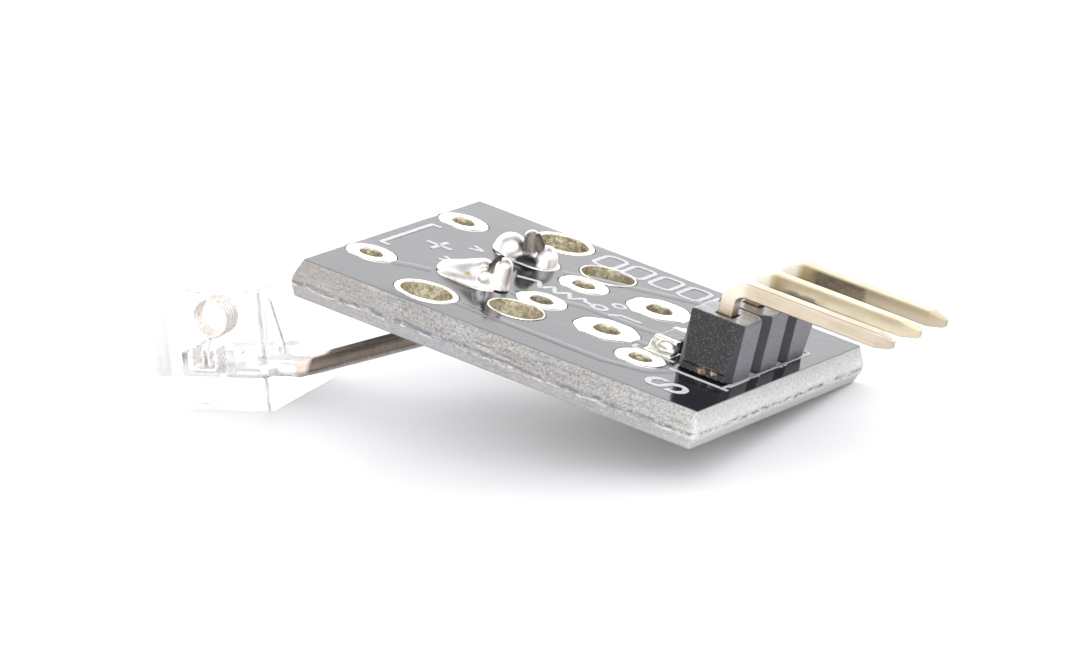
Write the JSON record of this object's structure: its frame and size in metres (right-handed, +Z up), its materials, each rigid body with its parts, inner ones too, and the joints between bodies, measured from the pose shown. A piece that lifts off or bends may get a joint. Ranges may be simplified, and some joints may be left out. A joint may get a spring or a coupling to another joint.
{
  "type": "shock sensor module",
  "caption": "Small circuit board with a clear spring type shock sensor on bent leads and a right-angle pin header, lying on a table.",
  "frame": {"origin": "centre of the base of the bounding box, on the table the module lies on", "axes": "+Z up from the table, +X from the sensor housing towards the header pins, +Y from the front long edge to the back; the board is tilted in this frame as it comes to rest"},
  "size_m": [0.036, 0.0158, 0.0085],
  "materials": {
    "board": "gloss",
    "plating": "satin",
    "solder": "gloss",
    "pin_gold": "satin",
    "header": "matte",
    "chip": "satin",
    "lead": "satin",
    "clear": "gloss",
    "spring": "satin"
  },
  "bodies": {
    "root": {"printed_board": "board", "large_plated_holes": "plating", "small_plated_holes": "plating", "link_pads": "plating", "sensor_pads": "plating", "header_pads": "plating", "resistor_pads": "plating", "resistor_body": "chip", "resistor_end_caps": "solder", "resistor_solder_joints": "solder", "header_insulator": "header", "signal_pin": "pin_gold", "supply_pin": "pin_gold", "ground_pin": "pin_gold", "header_solder_joints": "solder", "front_solder_joint": "solder", "rear_solder_joint": "solder", "sensor_cover": "clear", "sensor_base": "clear", "sensor_spring": "spring", "spring_clip": "spring", "contact_wire": "spring", "front_sensor_lead": "lead", "rear_sensor_lead": "lead"}
  },
  "joints": []
}
